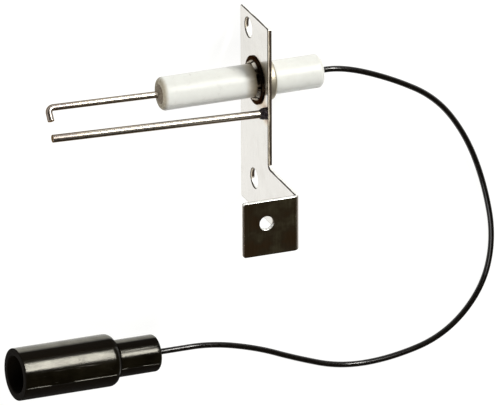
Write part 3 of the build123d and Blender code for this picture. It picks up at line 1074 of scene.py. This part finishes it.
def socket():
    """The brass cup that goes over the post, with a groove for the clip and a barrel crimped on the core."""
    front, barrel = SOCKET_FRONT, 1.7
    floor, neck, end = front + 14.0, front + 15.0, front + 21.0
    inner, outer, groove_r, half_groove, axis = 3.3, 4.3, 3.9, 0.4, 0.01
    outline = arc_corners(
        [
            (front, inner, 0.3),
            (front, outer, 0.35),
            (GROOVE - half_groove, outer, 0.08),
            (GROOVE - half_groove, groove_r, 0),
            (GROOVE + half_groove, groove_r, 0),
            (GROOVE + half_groove, outer, 0.08),
            (floor, outer, 0.5),
            (neck, 3.5, 0.3),
            (neck, barrel, 0.15),
            (end, barrel, 0.15),
            (end, CORE_HOLE, 0),
            (floor + 0.5, CORE_HOLE, 0),
            (floor + 0.5, axis, 0),
            (floor, axis, 0),
            (floor, inner, 0.4),
        ]
    )
    press = partial(crimped, middles=[(neck + end) / 2], half=1.8, depth=0.3, outer=barrel)

    def pressed(x, r, turn):
        return press(x, r, turn) if x > neck + 0.4 else (x, r)

    verts, faces = lathe(divided(outline, 0.5), 0.0, 0.0, pressed)
    brass = stamped("terminal_brass", (0.52, 0.38, 0.17), (0.72, 0.56, 0.28))
    return on_boot(piece("socket_cup", verts, faces, [brass], ROOT, ["terminal_socket"]))


def spring_clip():
    """An open ring of wire in the socket's groove."""
    radius, wire, steps = 4.32, 0.38, 64
    start, sweep = math.radians(110), math.radians(320)
    turns = [start + sweep * k / steps for k in range(steps + 1)]
    line = [(GROOVE, radius * math.cos(turn), radius * math.sin(turn)) for turn in turns]
    verts, faces = bar(line, wire, 0.1, 16)
    steel = stamped("clip_steel", (0.45, 0.45, 0.45), (0.66, 0.66, 0.66))
    return on_boot(piece("socket_clip", verts, faces, [steel], ROOT, ["terminal_spring_clip"]))


def ferrule():
    """The sleeve that grips the jacket's end, pressed in two places."""
    start, end, outer = JACKET_END, JACKET_END + 6.0, 1.6
    outline = arc_corners([(start, LEAD_HOLE, 0), (start, outer, 0.15), (end, outer, 0.15), (end, LEAD_HOLE, 0)])
    shape = partial(crimped, middles=[start + 1.8, end - 1.8], half=0.9, depth=0.18, outer=outer)
    verts, faces = lathe(divided(outline, 0.3), 0.0, 0.0, shape)
    metal = stamped("ferrule_metal", (0.50, 0.49, 0.47), (0.70, 0.69, 0.66))
    return on_boot(piece("lead_ferrule", verts, faces, [metal], ROOT, ["jacket_ferrule"]))


# ---------------------------------------- floor and light
def floor():
    """A pale table, lit a little from within so that shadows stay faint."""
    material, tree, surface = shader("pale_table", Roughness=1.0, Specular_IOR_Level=0.0)
    tone = cloud(tree, place(tree), 900.0, 2.0)
    connect(tree, surface, Base_Color=ramp(tree, tone, (0.3, 0.13), (0.7, 0.15)))
    connect(tree, surface, Emission_Color=ramp(tree, tone, (0.3, (0.99, 0.99, 0.975)), (0.7, (1.0, 1.0, 0.99))))
    surface.inputs["Emission Strength"].default_value = 0.94
    size = 6.0
    mesh = bpy.data.meshes.new("table_top")
    corners = [(-size, -size), (size, -size), (size, size), (-size, size)]
    mesh.from_pydata([(x, y, -0.0001) for x, y in corners], [], [(0, 1, 2, 3)])
    mesh.materials.append(material)
    obj = bpy.data.objects.new("table_top", mesh)
    bpy.context.scene.collection.objects.link(obj)


def area_light(name, direction, distance, size, radiance, colour=(1, 1, 1), long=(1, 0, 0), middle=None):
    """A soft box that faces the middle of the part, or another point: size is (along the long way, across)."""
    data = bpy.data.lights.new(name, "AREA")
    data.shape = "RECTANGLE"
    data.size, data.size_y = size
    data.energy = radiance * math.pi * size[0] * size[1]
    data.color = colour
    towards = Vector(direction).normalized()
    side = (Vector(long) - towards * towards.dot(Vector(long))).normalized()
    up = towards.cross(side)
    obj = bpy.data.objects.new(name, data)
    middle = middle or sum((Vector(corner) for corner in cad_box), Vector()) / 2
    turn = Matrix((side, up, towards)).transposed().to_4x4()
    obj.matrix_world = Matrix.Translation(middle + towards * distance) @ turn
    bpy.context.scene.collection.objects.link(obj)


def lights():
    """A soft key, a long strip that draws the boot's highlight, a weak fill and a dim room, dark overhead."""
    area_light("key", (0.331, 0.610, 0.719), 1.5, (0.34, 0.74), 4.6, (1.0, 0.99, 0.96))
    boot_middle = Vector(on_boot_axis(BOOT_BODY / 2)) * MM
    area_light("strip", (0.487, 0.640, 0.594), 1.5, (0.12, 0.84), 64.0, (1.0, 0.99, 0.95), BOOT_AXIS, boot_middle)
    area_light("fill", (-0.45, -0.45, 0.77), 1.4, (0.9, 0.9), 5.0)
    world = bpy.data.worlds.new("studio")
    world.use_nodes = True
    tree = world.node_tree
    direction = add(tree, "TexCoord", {}).outputs["Generated"]
    height = add(tree, "SeparateXYZ", {0: direction}).outputs["Z"]
    sky = ramp(
        tree,
        height,
        (0.0, (0.28, 0.26, 0.23)),
        (0.12, (0.12, 0.11, 0.09)),
        (0.3, (0.07, 0.062, 0.05)),
        (0.5, (0.016, 0.0125, 0.0075)),
    )
    side = measure(tree, "DOT_PRODUCT", direction, (0.2, 0.92, 0.3))
    glow = ramp(tree, side, (0.6, 0.0), (0.95, 0.15))
    background = tree.nodes["Background"]
    connect(tree, background, Color=blend_colours(tree, 1.0, sky, glow, "ADD"))
    background.inputs["Strength"].default_value = 1.0
    bpy.context.scene.world = world
    bpy.context.scene.view_settings.view_transform = "Standard"


# ---------------------------------------- everything
camera()
jacket = lead_curve("lead", LEAD_R, JACKET_START, JACKET_END, lead_silicone(), "lead_jacket")
copper = stamped("tinned_copper", (0.62, 0.36, 0.22), (0.78, 0.50, 0.34))
core = lead_curve("lead_core", CORE_R, CORE_START, CORE_END, copper, "lead_conductor")
bracket()
ceramic()
retaining_ring()
collar()
electrode()
earth_rod()
weld()
cement()
splice()
potting()
shell = boot()
cup = socket()
clip = spring_clip()
sleeve = ferrule()
floor()
lights()
